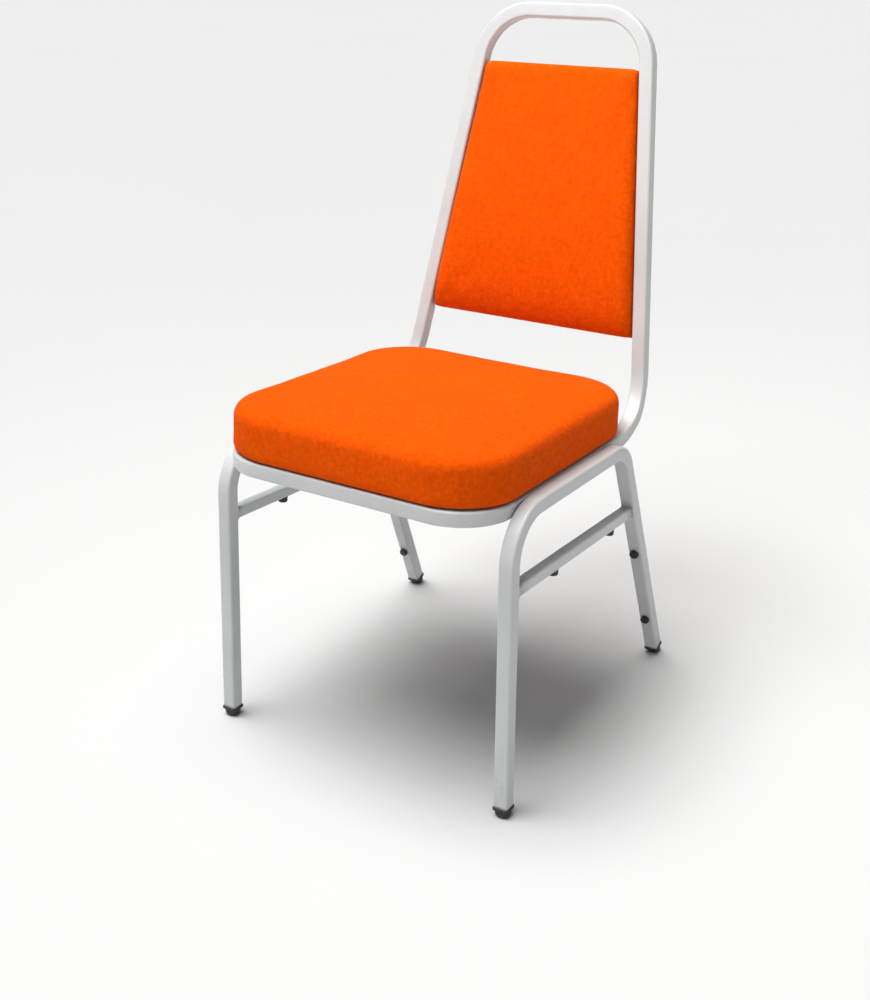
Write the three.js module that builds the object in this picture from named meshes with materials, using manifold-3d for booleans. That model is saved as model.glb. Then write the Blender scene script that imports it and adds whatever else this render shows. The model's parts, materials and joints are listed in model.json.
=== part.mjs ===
// Stacking chair: bent square-tube frame, upholstered seat and back, push-in plastic feet and buffers.
// Millimetres, +Z up, front of the chair towards -Y, origin on the floor under the middle of the chair.
import * as THREE from 'three';
import { mergeVertices } from 'three/addons/utils/BufferGeometryUtils.js';
import Module from 'manifold-3d';

const wasm = await Module();
wasm.setup();

// ---- driving dimensions ----
const GAP = 0.3;                  // clearance between touching pieces
const TUBE = 19;                  // outside of the square frame tube
const TUBE_WALL = 1.5;
const TUBE_CORNER = 2.2;          // outside corner radius of the tube
const BAR = 15;                   // outside of the lighter stretcher tube
const BAR_WALL = 1.2;
const BAR_CORNER = 1.8;

const SEAT_FRONT_Y = -276.2;      // front face of the front rail
const SEAT_TOP_Z = 398;           // top face of the front rail
const SEAT_SLOPE = 0.0405;        // fall of the seat rails per millimetre towards the back

const HOOP_HALF_WIDTH = 180.8;    // tube centre to middle plane, along the seat
const HOOP_TOP_HALF_WIDTH = 114.7;
const HOOP_SEAT_LENGTH = 425;     // front rail centre to the seat/back corner
const HOOP_BACK_LENGTH = 513.4;   // seat/back corner to top rail centre
const HOOP_FRONT_RADIUS = 62.4;
const HOOP_TAPER_RADIUS = 150;
const HOOP_TOP_RADIUS = 71;
const HOOP_BEND_RADIUS = 87.3;    // seat rail up into the back
const BACK_RAKE = 10.45;          // degrees behind vertical

const LEG_TOP_X = 200.1;          // leg frame centre plane at rail height
const LEG_SPLAY = 0.0234;         // outward lean per millimetre of drop
const FRONT_FOOT_Y = -234.5;      // leg centre lines where they meet the floor
const REAR_FOOT_Y = 239;
const LEG_FRONT_CORNER_Y = -229.6;
const LEG_REAR_CORNER_Y = 72;
const LEG_FRONT_RADIUS = 59.2;
const LEG_REAR_RADIUS = 45;
const FOOT_RIM_Z = 12.7;          // height of the tube ends above the floor

const STRETCHER_FRONT_Z = 296.6;  // stretcher centre line at the front leg
const STRETCHER_SLOPE = 0.0652;
const STRETCHER_BUFFER_Y = [-117.2, 46.8];
const LEG_BUFFER_Z = [203, 76];
const BUFFER_RADIUS = 6.5;
const BUFFER_HOLE_RADIUS = 3;
const BUFFER_STEM_RADIUS = 2.6;
const STRETCHER_BUFFER_HEIGHT = 8;
const LEG_BUFFER_HEIGHT = 6;
const FOOT_RIM = 21.4;            // square rim under the tube end
const FOOT_RIM_THICKNESS = 3.4;
const FOOT_STEM_LENGTH = 17;
const FOOT_PAD_RADIUS = 6.4;      // flat of the dome on the floor

const CROSS_RAIL_V = 338;         // rear cross rail, behind the front rail centre

const CUSHION_HALF_WIDTH = 194;
const CUSHION_FRONT_V = -11.5;
const CUSHION_REAR_V = 406;
const CUSHION_CORNER = 82;
const CUSHION_HEIGHT = 68;
const BOARD_THICKNESS = 12;
const BOARD_INSET = 7;
const DUST_COVER = 0.8;
const SEAT_LUG_V = [80, 300];     // seat fixing lugs, behind the front rail centre
const SEAT_LUG = { reach: 30, width: 26, thickness: 3, screwInset: 17, holeRadius: 3.3 };
const SEAT_SCREW = { head: 5.8, headHeight: 3.6, shank: 2.7, length: 16 };
const SEAT_BOARD_HOLE_RADIUS = 4.5;
const DUST_COVER_HOLE_RADIUS = 4;
const TEE_NUT = { bore: 3.1, barrel: 4.1, flange: 9, flangeThickness: 1.2, depth: 9 };
const DRAIN_HOLE_V = [110, 270];  // drain holes under the side rails
const DRAIN_HOLE_RADIUS = 3;

const PAD_BOTTOM_V = 101;
const PAD_TOP_V = 446;
const PAD_CORNER = 9;
const PAD_EDGE_GAP = 1.5;
const PAD_FRONT = 23;             // crown of the back cushion in front of the tube centre plane
const PAD_BACK = -6.7;            // rear edge of the back cushion's sides
const BACK_BOARD = [-0.7, 8.3];   // front-to-back extent of the board inside the back
const BACK_TAB = [-3.5, -1];
const BACK_PANEL = [-12, -7];
const BACK_TAB_V = [150, 400];
const TAB = { length: 24, height: 20, screwInset: 15, holeRadius: 2.8 };
const BACK_SCREW = { head: 4.4, headHeight: 2.6, shank: 2.1, length: 9.5 };
const BACK_BOARD_HOLE_RADIUS = 2.6;
const BACK_BOARD_INSET = 6;

const RIGHT = 1;
const LEFT = -1;
const SIDES = [[RIGHT, 'right'], [LEFT, 'left']];

// ---- materials ----
const epoxy = new THREE.MeshStandardMaterial({ color: 0xd3d4cf, roughness: 0.42, metalness: 0.1 });
const fabric = new THREE.MeshStandardMaterial({ color: 0xf75a08, roughness: 0.92, metalness: 0 });
const blackPlastic = new THREE.MeshStandardMaterial({ color: 0x151515, roughness: 0.5, metalness: 0 });
const plywood = new THREE.MeshStandardMaterial({ color: 0xc9a26b, roughness: 0.75, metalness: 0 });
const steel = new THREE.MeshStandardMaterial({ color: 0xb9bbbd, roughness: 0.35, metalness: 0.9 });
const blackCloth = new THREE.MeshStandardMaterial({ color: 0x1c1c1e, roughness: 0.95, metalness: 0 });

// ---- solids ----
function toSolid(geometry) {
  const bare = geometry.clone();
  bare.deleteAttribute('normal');
  bare.deleteAttribute('uv');
  const merged = mergeVertices(bare, 1e-4);
  return new wasm.Manifold(new wasm.Mesh({
    numProp: 3,
    vertProperties: new Float32Array(merged.attributes.position.array),
    triVerts: new Uint32Array(merged.index.array),
  }));
}

function toGeometry(solid) {
  const mesh = solid.getMesh();
  const geometry = new THREE.BufferGeometry();
  geometry.setAttribute('position', new THREE.BufferAttribute(mesh.vertProperties, 3));
  geometry.setIndex(new THREE.BufferAttribute(mesh.triVerts, 1));
  geometry.computeVertexNormals();
  return geometry;
}

function join(geometries) {
  return toGeometry(geometries.map(toSolid).reduce((sum, solid) => sum.add(solid)));
}

function cut(geometry, tools) {
  return toGeometry(tools.map(toSolid).reduce((rest, tool) => rest.subtract(tool), toSolid(geometry)));
}

function mirrored(geometry) {
  const copy = mergeVertices(geometry.clone().deleteAttribute('normal').deleteAttribute('uv'), 1e-4);
  copy.scale(-1, 1, 1);
  const index = copy.index.array;
  for (let i = 0; i < index.length; i += 3) [index[i], index[i + 1]] = [index[i + 1], index[i]];
  return copy;
}

function box(x0, x1, y0, y1, z0, z1) {
  return new THREE.BoxGeometry(x1 - x0, y1 - y0, z1 - z0)
    .translate((x0 + x1) / 2, (y0 + y1) / 2, (z0 + z1) / 2);
}

// a cylinder standing on z0, along +Z
function pin(radius, z0, z1, sides = 16) {
  return new THREE.CylinderGeometry(radius, radius, z1 - z0, sides).rotateX(Math.PI / 2)
    .translate(0, 0, (z0 + z1) / 2);
}

// a turned piece, profile as [radius, height] pairs, round the Z axis
function turned(profile, sides = 20) {
  return new THREE.LatheGeometry(profile.map(([r, z]) => new THREE.Vector2(r, z)), sides).rotateX(Math.PI / 2);
}

function roundedRectangle(x0, x1, y0, y1, radius) {
  const shape = new THREE.Shape();
  shape.absarc(x1 - radius, y0 + radius, radius, -Math.PI / 2, 0, false);
  shape.absarc(x1 - radius, y1 - radius, radius, 0, Math.PI / 2, false);
  shape.absarc(x0 + radius, y1 - radius, radius, Math.PI / 2, Math.PI, false);
  shape.absarc(x0 + radius, y0 + radius, radius, Math.PI, 1.5 * Math.PI, false);
  return shape;
}

function squareTube(size, corner, wall) {
  const half = size / 2;
  const bore = half - wall;
  const shape = roundedRectangle(-half, half, -half, half, corner);
  shape.holes.push(new THREE.Path([
    new THREE.Vector2(-bore, -bore), new THREE.Vector2(-bore, bore),
    new THREE.Vector2(bore, bore), new THREE.Vector2(bore, -bore),
  ]));
  return shape;
}

// A path given by stations. Each station has a centre and the two vectors that carry the section's x and y
// there, so a station can turn, cut at a slant or scale the section.
class StationPath extends THREE.Curve {
  constructor(stations) {
    super();
    this.stations = stations;
  }

  getPoint(t, target = new THREE.Vector3()) {
    const last = this.stations.length - 1;
    const at = Math.min(Math.floor(t * last), last - 1);
    return target.lerpVectors(this.stations[at].centre, this.stations[at + 1].centre, t * last - at);
  }

  getSpacedPoints() {
    return this.stations.map((station) => station.centre.clone());
  }

  computeFrenetFrames() {
    return {
      tangents: this.stations.map((station) => new THREE.Vector3().crossVectors(station.across, station.along)),
      normals: this.stations.map((station) => station.across),
      binormals: this.stations.map((station) => station.along),
    };
  }
}

function sweep(shape, stations, curveSegments = 1) {
  const extrudePath = new StationPath(stations);
  return new THREE.ExtrudeGeometry(shape, { steps: stations.length - 1, extrudePath, curveSegments });
}

// a slab of the outline from z0 to z1
function slab(shape, z0, z1, curveSegments = 4) {
  const options = { depth: z1 - z0, bevelEnabled: false, curveSegments };
  return new THREE.ExtrudeGeometry(shape, options).translate(0, 0, z0);
}

// outline lofted along +Z, levels as [height, scale] pairs, scaled about centre
function lofted(shape, centre, levels, curveSegments) {
  return sweep(shape, levels.map(([height, scale]) => ({
    centre: new THREE.Vector3(centre.x * (1 - scale), centre.y * (1 - scale), height),
    across: new THREE.Vector3(scale, 0, 0),
    along: new THREE.Vector3(0, scale, 0),
  })), curveSegments);
}

// Flat path through corners with rounded bends: points with their tangents.
function filletPath(corners, radii, arcSteps) {
  const direction = (a, b) => new THREE.Vector2().subVectors(b, a).normalize();
  const path = [{ point: corners[0], tangent: direction(corners[0], corners[1]) }];
  for (let i = 1; i < corners.length - 1; i += 1) {
    const before = direction(corners[i - 1], corners[i]);
    const after = direction(corners[i], corners[i + 1]);
    const turn = Math.atan2(before.cross(after), before.dot(after));
    const radius = radii[i - 1];
    const start = corners[i].clone().addScaledVector(before, -radius * Math.tan(Math.abs(turn) / 2));
    const side = Math.sign(turn);
    const centre = start.clone().add(new THREE.Vector2(-before.y, before.x).multiplyScalar(side * radius));
    for (let k = 0; k <= arcSteps[i - 1]; k += 1) {
      const angle = turn * k / arcSteps[i - 1];
      path.push({
        point: start.clone().rotateAround(centre, angle),
        tangent: before.clone().rotateAround(new THREE.Vector2(), angle),
      });
    }
  }
  const end = corners[corners.length - 1];
  path.push({ point: end, tangent: direction(corners[corners.length - 2], end) });
  return path;
}

// ---- the seat and back sheet: x across, v along the seat and then up the back ----
const seatPitch = -Math.atan(SEAT_SLOPE);
const backPitch = THREE.MathUtils.degToRad(90 - BACK_RAKE);
const bendTurn = backPitch - seatPitch;
const bendStart = HOOP_SEAT_LENGTH - HOOP_BEND_RADIUS * bendTurn / 2;
const bendEnd = HOOP_SEAT_LENGTH + HOOP_BEND_RADIUS * bendTurn / 2;
const railOrigin = new THREE.Vector2(SEAT_FRONT_Y + TUBE / 2, SEAT_TOP_Z - TUBE / 2);

function onSheet(v) {
  const pitch = THREE.MathUtils.clamp(seatPitch + (v - bendStart) / HOOP_BEND_RADIUS, seatPitch, backPitch);
  const flat = Math.min(v, bendStart);
  const rise = Math.max(v - bendEnd, 0);
  const y = railOrigin.x + flat * Math.cos(seatPitch) + rise * Math.cos(backPitch)
    + HOOP_BEND_RADIUS * (Math.sin(pitch) - Math.sin(seatPitch));
  const z = railOrigin.y + flat * Math.sin(seatPitch) + rise * Math.sin(backPitch)
    + HOOP_BEND_RADIUS * (Math.cos(seatPitch) - Math.cos(pitch));
  return { y, z, pitch };
}

function sheetGroup(v, name) {
  const { y, z, pitch } = onSheet(v);
  const group = new THREE.Group();
  group.name = name;
  group.position.set(0, y, z);
  group.rotation.x = pitch;
  return group;
}

// ---- hoop: one tube round the seat, up the back and across the top ----
function hoopStations() {
  const overlap = -1;
  const top = HOOP_SEAT_LENGTH + HOOP_BACK_LENGTH;
  const corners = [[overlap, 0], [HOOP_HALF_WIDTH, 0], [HOOP_HALF_WIDTH, HOOP_SEAT_LENGTH],
    [HOOP_TOP_HALF_WIDTH, top], [overlap, top]].map(([x, v]) => new THREE.Vector2(x, v));
  const flat = filletPath(corners, [HOOP_FRONT_RADIUS, HOOP_TAPER_RADIUS, HOOP_TOP_RADIUS], [8, 2, 8]);
  const bendSteps = 12;
  const stops = Array.from({ length: bendSteps + 1 }, (_, k) => (
    bendStart + (bendEnd - bendStart) * k / bendSteps));
  const dense = [flat[0]];
  for (let i = 1; i < flat.length; i += 1) {
    const [a, b] = [flat[i - 1], flat[i]];
    for (const stop of stops) {
      const share = (stop - a.point.y) / (b.point.y - a.point.y);
      if (share > 0.02 && share < 0.98) {
        dense.push({
          point: a.point.clone().lerp(b.point, share),
          tangent: a.tangent.clone().lerp(b.tangent, share).normalize(),
        });
      }
    }
    dense.push(b);
  }
  return dense.map(({ point, tangent }) => {
    const { y, z, pitch } = onSheet(point.y);
    const forward = new THREE.Vector3(0, Math.cos(pitch), Math.sin(pitch));
    const outward = new THREE.Vector3(tangent.y, 0, 0).addScaledVector(forward, -tangent.x);
    const upward = new THREE.Vector3(0, -Math.sin(pitch), Math.cos(pitch));
    return { centre: new THREE.Vector3(point.x, y, z), across: upward, along: outward };
  });
}

function hoopGeometry() {
  const half = sweep(squareTube(TUBE, TUBE_CORNER, TUBE_WALL), hoopStations());
  const drills = SIDES.flatMap(([side]) => DRAIN_HOLE_V.map((v) => {
    const { y, z } = onSheet(v);
    return pin(DRAIN_HOLE_RADIUS, -TUBE, -TUBE / 4, 12).rotateX(seatPitch)
      .translate(side * HOOP_HALF_WIDTH, y, z);
  }));
  return cut(join([half, mirrored(half)]), drills);
}

// ---- leg frames: an inverted U each side, in a plane that leans outwards ----
const railHeight = (y) => railOrigin.y - SEAT_SLOPE * (y - SEAT_FRONT_Y);
const legCorners = [
  new THREE.Vector2(FRONT_FOOT_Y, 0),
  new THREE.Vector2(LEG_FRONT_CORNER_Y, railHeight(LEG_FRONT_CORNER_Y)),
  new THREE.Vector2(LEG_REAR_CORNER_Y, railHeight(LEG_REAR_CORNER_Y)),
  new THREE.Vector2(REAR_FOOT_Y, 0),
];
const frontLegUp = new THREE.Vector2().subVectors(legCorners[1], legCorners[0]).normalize();
const rearLegUp = new THREE.Vector2().subVectors(legCorners[2], legCorners[3]).normalize();

// a point on a leg's centre line at height z
function onLeg(foot, up, z) {
  return foot.clone().addScaledVector(up, z / up.y);
}

function legGroup(side) {
  const group = new THREE.Group();
  group.position.set(side * LEG_TOP_X, 0, SEAT_TOP_Z);
  group.rotation.y = -side * Math.atan(LEG_SPLAY);
  return group;
}

// everything in a leg frame is drawn at its height above the floor, then hung from the group's top
const hung = (geometry) => geometry.translate(0, 0, -SEAT_TOP_Z);

function legDrills() {
  return LEG_BUFFER_Z.map((z) => {
    const place = onLeg(legCorners[3], rearLegUp, z);
    return facingForward(pin(BUFFER_HOLE_RADIUS, TUBE / 4, TUBE, 14)).translate(0, place.x, place.y);
  });
}

// turns +Z to the forward normal of the rear leg
function facingForward(geometry) {
  return geometry.rotateX(Math.PI / 2 - Math.atan2(rearLegUp.x, rearLegUp.y));
}

function legFrameGeometry() {
  const ends = [onLeg(legCorners[0], frontLegUp, FOOT_RIM_Z), onLeg(legCorners[3], rearLegUp, FOOT_RIM_Z)];
  const path = filletPath([ends[0], legCorners[1], legCorners[2], ends[1]],
    [LEG_FRONT_RADIUS, LEG_REAR_RADIUS], [9, 8]);
  const stations = path.map(({ point, tangent }) => ({
    centre: new THREE.Vector3(0, point.x, point.y),
    across: new THREE.Vector3(0, -tangent.y, tangent.x),
    along: new THREE.Vector3(1, 0, 0),
  }));
  return hung(cut(sweep(squareTube(TUBE, TUBE_CORNER, TUBE_WALL), stations), legDrills()));
}

// ---- stretchers between the legs, ends cut to the slant of each leg ----
const stretcherDirection = new THREE.Vector2(1, -STRETCHER_SLOPE).normalize();

function onStretcher(y) {
  return new THREE.Vector2(y, STRETCHER_FRONT_Z - STRETCHER_SLOPE * (y - LEG_FRONT_CORNER_Y));
}

function stretcherEnd(foot, up, towards) {
  const near = onStretcher(foot.x + up.x / up.y * STRETCHER_FRONT_Z);
  const axis = onLeg(foot, up, near.y).x + towards * (TUBE / 2 + GAP) / up.y;
  const centre = onStretcher(axis);
  const stretch = 1 / Math.abs(stretcherDirection.cross(up));
  return {
    centre: new THREE.Vector3(0, centre.x, centre.y),
    across: new THREE.Vector3(0, up.x, up.y).multiplyScalar(stretch),
    along: new THREE.Vector3(1, 0, 0),
  };
}

function stretcherGeometry() {
  const stations = [stretcherEnd(legCorners[0], frontLegUp, 1), stretcherEnd(legCorners[3], rearLegUp, -1)];
  const drills = STRETCHER_BUFFER_Y.map((y) => {
    const place = onStretcher(y);
    return pin(BUFFER_HOLE_RADIUS, -BAR, -BAR / 4, 14).rotateX(-Math.atan(STRETCHER_SLOPE))
      .translate(0, place.x, place.y);
  });
  return hung(cut(sweep(squareTube(BAR, BAR_CORNER, BAR_WALL), stations), drills));
}

// ---- push-in plastic: buffers and feet ----
// stem up along +Z into the hole, flat-topped button below the face
function bufferGeometry(height) {
  const head = BUFFER_RADIUS;
  const stem = BUFFER_STEM_RADIUS;
  return turned([[0, -height], [head - 1.6, -height], [head - 0.4, -height + 1.2], [head, -1.4 - GAP],
    [head - 0.6, -GAP], [stem, -GAP], [stem, 4], [stem - 0.5, 5.2], [0, 5.2]], 16);
}

function footGeometry(foot, up) {
  const rim = FOOT_RIM / 2;
  const stem = TUBE / 2 - TUBE_WALL - GAP;
  const lean = -Math.atan2(up.x, up.y);
  const alongLeg = [
    slab(roundedRectangle(-rim, rim, -rim, rim, 2.6), -FOOT_RIM_THICKNESS, -GAP, 1),
    box(-stem, stem, -stem, stem, -1, FOOT_STEM_LENGTH),
    pin(8.6, -6.5, -1, 20),
  ];
  const end = onLeg(foot, up, FOOT_RIM_Z);
  const placed = alongLeg.map((piece) => piece.rotateX(lean).translate(0, end.x, end.y));
  const dome = turned([[0, 0], [FOOT_PAD_RADIUS, 0], [8.2, 1.2], [9, 3.4], [9.1, 5.6], [8.2, 8], [0, 9.4]], 20);
  placed.push(dome.translate(0, onLeg(foot, up, 4).x, 0));
  return placed;
}

// the dome stands upright on the floor, so the foot is joined in the object's own frame
function standingFoot(side, foot, up) {
  const [rim, stem, neck, dome] = footGeometry(foot, up);
  const tilt = -side * Math.atan(LEG_SPLAY);
  const hungParts = [rim, stem, neck].map((piece) => hung(piece).rotateY(tilt)
    .translate(side * LEG_TOP_X, 0, SEAT_TOP_Z));
  const floorX = side * (LEG_TOP_X + LEG_SPLAY * (SEAT_TOP_Z - 4));
  return join([...hungParts, dome.translate(floorX, 0, 0)]);
}

// ---- seat: board, cushion, dust cover, screws and tee nuts, on the rails ----
const seatOutline = (inset) => roundedRectangle(-CUSHION_HALF_WIDTH + inset, CUSHION_HALF_WIDTH - inset,
  CUSHION_FRONT_V + inset, CUSHION_REAR_V - inset, CUSHION_CORNER - inset);
const railTop = TUBE / 2;
const boardBottom = railTop + GAP + DUST_COVER + GAP;
const boardTop = boardBottom + BOARD_THICKNESS;
const DRILL_REACH = 40;

function seatCushionGeometry() {
  const centre = new THREE.Vector2(0, (CUSHION_FRONT_V + CUSHION_REAR_V) / 2);
  const top = railTop + CUSHION_HEIGHT;
  const levels = [[railTop + 2, 0.985], [railTop + 8, 1], [top - 22, 0.995], [top - 13, 0.978], [top - 6, 0.93],
    [top - 2.5, 0.84], [top, 0.6]];
  const body = lofted(seatOutline(0), centre, levels, 5);
  const pocket = slab(seatOutline(BOARD_INSET - 0.5), -1, boardTop + TEE_NUT.flangeThickness + 0.5);
  return cut(body, [pocket]);
}

// holes through a flat piece that lies within DRILL_REACH of the sheet
function drilled(geometry, places, radius) {
  return cut(geometry, places.map(([x, y]) => pin(radius, -DRILL_REACH, DRILL_REACH, 12).translate(x, y, 0)));
}

function screwGeometry({ head, headHeight, shank, length }) {
  return turned([[0, -headHeight], [head * 0.6, -headHeight], [head, -headHeight * 0.35], [head, 0], [shank, 0],
    [shank, length - 1.5], [shank * 0.5, length], [0, length]], 12);
}

function teeNutGeometry() {
  const { bore, barrel, flange, flangeThickness, depth } = TEE_NUT;
  const seatFace = 0.02;
  return turned([[bore, -depth], [barrel, -depth], [barrel, seatFace], [flange, seatFace],
    [flange, flangeThickness], [bore, flangeThickness], [bore, -depth]], 12);
}

// ---- back: trapezoid between the uprights, drawn with x across, y up the back and z forward ----
const taper = (HOOP_HALF_WIDTH - HOOP_TOP_HALF_WIDTH) / HOOP_BACK_LENGTH;
const innerHalfWidth = (v) => HOOP_HALF_WIDTH - taper * v - TUBE / 2 * Math.hypot(1, taper);

function trapezoid(inset, corner) {
  const halfAt = (v) => innerHalfWidth(v) - PAD_EDGE_GAP - inset;
  const [low, high] = [PAD_BOTTOM_V + inset, PAD_TOP_V - inset];
  const corners = [[0, low], [halfAt(low), low], [halfAt(high), high], [-halfAt(high), high],
    [-halfAt(low), low], [0, low]].map(([x, y]) => new THREE.Vector2(x, y));
  const path = filletPath(corners, [corner, corner, corner, corner], [3, 3, 3, 3]);
  return new THREE.Shape(path.slice(0, -1).map(({ point }) => point));
}

function backTabPlaces() {
  return SIDES.flatMap(([side, sideName]) => BACK_TAB_V.map((v, i) => (
    { side, v, name: `${['lower', 'upper'][i]}_${sideName}` }
  )));
}

const tabScrewX = (v) => innerHalfWidth(v) - TAB.screwInset;

// a steel lug whose outer end follows the taper of the upright
function tabShape(side, v, clearance) {
  const edge = (y) => side * (innerHalfWidth(v + y) - GAP + clearance);
  const end = side * (innerHalfWidth(v) - TAB.length - clearance);
  const half = TAB.height / 2 + clearance;
  const outline = [[end, v - half], [edge(-half), v - half], [edge(half), v + half], [end, v + half]];
  if (side < 0) outline.reverse();
  return new THREE.Shape(outline.map(([x, y]) => new THREE.Vector2(x, y)));
}

function backCushionGeometry() {
  const centre = new THREE.Vector2(0, (PAD_BOTTOM_V + PAD_TOP_V) / 2);
  const levels = [[PAD_BACK, 1], [7, 1], [13, 0.985], [18, 0.94], [PAD_FRONT - 1.5, 0.84], [PAD_FRONT, 0.6]];
  const body = lofted(trapezoid(0, PAD_CORNER), centre, levels, 4);
  const pocket = slab(trapezoid(BACK_BOARD_INSET - 0.5, 5), PAD_BACK - 1, BACK_BOARD[1] + 0.4);
  const notches = backTabPlaces().map(({ side, v }) => (
    slab(tabShape(side, v, 0.6), PAD_BACK - 1, BACK_TAB[1] + 0.6)));
  return cut(body, [pocket, ...notches]);
}

// ---- the chair ----
const chair = new THREE.Group();
chair.name = 'stacking_chair';

function add(parent, name, geometry, material) {
  const mesh = new THREE.Mesh(geometry, material);
  mesh.name = name;
  parent.add(mesh);
  return mesh;
}

add(chair, 'hoop_frame', hoopGeometry(), epoxy);

for (const [side, name] of SIDES) {
  const frame = legGroup(side);
  chair.add(frame);
  add(frame, `leg_frame_${name}`, legFrameGeometry(), epoxy);
  add(frame, `stretcher_${name}`, stretcherGeometry(), epoxy);
  STRETCHER_BUFFER_Y.forEach((y, i) => {
    const place = onStretcher(y);
    const button = bufferGeometry(STRETCHER_BUFFER_HEIGHT).translate(0, 0, -BAR / 2)
      .rotateX(-Math.atan(STRETCHER_SLOPE)).translate(0, place.x, place.y);
    add(frame, `stacking_buffer_${['front', 'rear'][i]}_${name}`, hung(button), blackPlastic);
  });
  LEG_BUFFER_Z.forEach((z, i) => {
    const place = onLeg(legCorners[3], rearLegUp, z);
    const button = bufferGeometry(LEG_BUFFER_HEIGHT).rotateX(Math.PI).translate(0, 0, TUBE / 2);
    add(frame, `leg_buffer_${['upper', 'lower'][i]}_${name}`,
      hung(facingForward(button).translate(0, place.x, place.y)), blackPlastic);
  });
  add(chair, `foot_front_${name}`, standingFoot(side, legCorners[0], frontLegUp), blackPlastic);
  add(chair, `foot_rear_${name}`, standingFoot(side, legCorners[3], rearLegUp), blackPlastic);
}

const seat = sheetGroup(0, 'seat');
chair.add(seat);
const crossRail = sweep(squareTube(TUBE, TUBE_CORNER, TUBE_WALL), [RIGHT, LEFT].map((side) => ({
  centre: new THREE.Vector3(side * (HOOP_HALF_WIDTH - TUBE / 2 - GAP), CROSS_RAIL_V, 0),
  across: new THREE.Vector3(0, 1, 0),
  along: new THREE.Vector3(0, 0, -1),
})));
add(seat, 'rear_cross_rail', crossRail, epoxy);
const lugs = SIDES.flatMap(([side, sideName]) => SEAT_LUG_V.map((v, i) => (
  { side, v, name: `${['front', 'rear'][i]}_${sideName}` }
)));
const lugFace = HOOP_HALF_WIDTH - TUBE / 2 - GAP;
const boardHoles = lugs.map(({ side, v }) => [side * (lugFace - SEAT_LUG.screwInset), v]);
add(seat, 'seat_board', drilled(slab(seatOutline(BOARD_INSET), boardBottom, boardTop), boardHoles,
  SEAT_BOARD_HOLE_RADIUS), plywood);
const dustCover = slab(seatOutline(BOARD_INSET + 2), railTop + GAP, railTop + GAP + DUST_COVER);
add(seat, 'seat_dust_cover', drilled(dustCover, boardHoles, DUST_COVER_HOLE_RADIUS), blackCloth);
add(seat, 'seat_cushion', seatCushionGeometry(), fabric);
lugs.forEach(({ side, v, name }, i) => {
  const [x] = boardHoles[i];
  const inner = side * (lugFace - SEAT_LUG.reach);
  const outer = side * lugFace;
  const lug = box(Math.min(inner, outer), Math.max(inner, outer),
    v - SEAT_LUG.width / 2, v + SEAT_LUG.width / 2, railTop - SEAT_LUG.thickness, railTop);
  add(seat, `seat_lug_${name}`, drilled(lug, [[x, v]], SEAT_LUG.holeRadius), epoxy);
  const screw = screwGeometry(SEAT_SCREW).translate(x, v, railTop - SEAT_LUG.thickness - GAP);
  add(seat, `seat_screw_${name}`, screw, steel);
  add(seat, `seat_tee_nut_${name}`, teeNutGeometry().translate(x, v, boardTop + GAP), steel);
});

// the back group stands where the straight of the uprights, carried down, would meet the seat rails
const back = sheetGroup(bendEnd, 'back');
back.translateY(HOOP_SEAT_LENGTH - bendEnd);
chair.add(back);
const tabs = backTabPlaces();
const tabHoles = tabs.map(({ side, v }) => [side * tabScrewX(v), v]);
add(back, 'back_board', drilled(slab(trapezoid(BACK_BOARD_INSET, 5), ...BACK_BOARD), tabHoles,
  BACK_BOARD_HOLE_RADIUS), plywood);
add(back, 'back_cushion', backCushionGeometry(), fabric);
add(back, 'back_rear_panel', slab(trapezoid(0.5, PAD_CORNER), ...BACK_PANEL), fabric);
tabs.forEach(({ side, name, v }) => {
  const hole = [[side * tabScrewX(v), v]];
  add(back, `back_tab_${name}`, drilled(slab(tabShape(side, v, 0), ...BACK_TAB), hole, TAB.holeRadius), steel);
  add(back, `back_screw_${name}`, screwGeometry(BACK_SCREW).translate(hole[0][0], v, BACK_TAB[0] - GAP), steel);
});

export default chair;
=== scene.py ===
import json
from math import atan, atan2, ceil, copysign, cos, hypot, pi, radians, sin, sqrt, tan

import bmesh
import bpy
import numpy as np
from mathutils import Matrix, Vector
from mathutils.geometry import delaunay_2d_cdt


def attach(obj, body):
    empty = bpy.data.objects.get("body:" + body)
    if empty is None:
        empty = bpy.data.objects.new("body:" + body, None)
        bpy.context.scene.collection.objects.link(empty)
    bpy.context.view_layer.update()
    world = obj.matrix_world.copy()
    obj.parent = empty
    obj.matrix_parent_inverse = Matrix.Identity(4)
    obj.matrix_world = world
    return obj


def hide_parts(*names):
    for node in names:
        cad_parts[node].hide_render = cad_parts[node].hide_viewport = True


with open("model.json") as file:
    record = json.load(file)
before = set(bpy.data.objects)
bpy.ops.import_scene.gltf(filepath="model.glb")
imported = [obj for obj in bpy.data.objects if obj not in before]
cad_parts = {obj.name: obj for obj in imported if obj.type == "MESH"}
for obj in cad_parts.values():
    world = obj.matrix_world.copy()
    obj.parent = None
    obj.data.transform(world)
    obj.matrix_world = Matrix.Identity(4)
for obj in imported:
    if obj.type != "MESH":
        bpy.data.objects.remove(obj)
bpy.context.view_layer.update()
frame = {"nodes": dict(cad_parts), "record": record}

MM = 0.001

# ---- camera ----
CAMERA_AT = Vector((0.78998, -1.37483, 0.96109))
AZIMUTH, DROP, ROLL = radians(30.9475), radians(23.2312), radians(0.9023)
LENS_MM = 46.15


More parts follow.
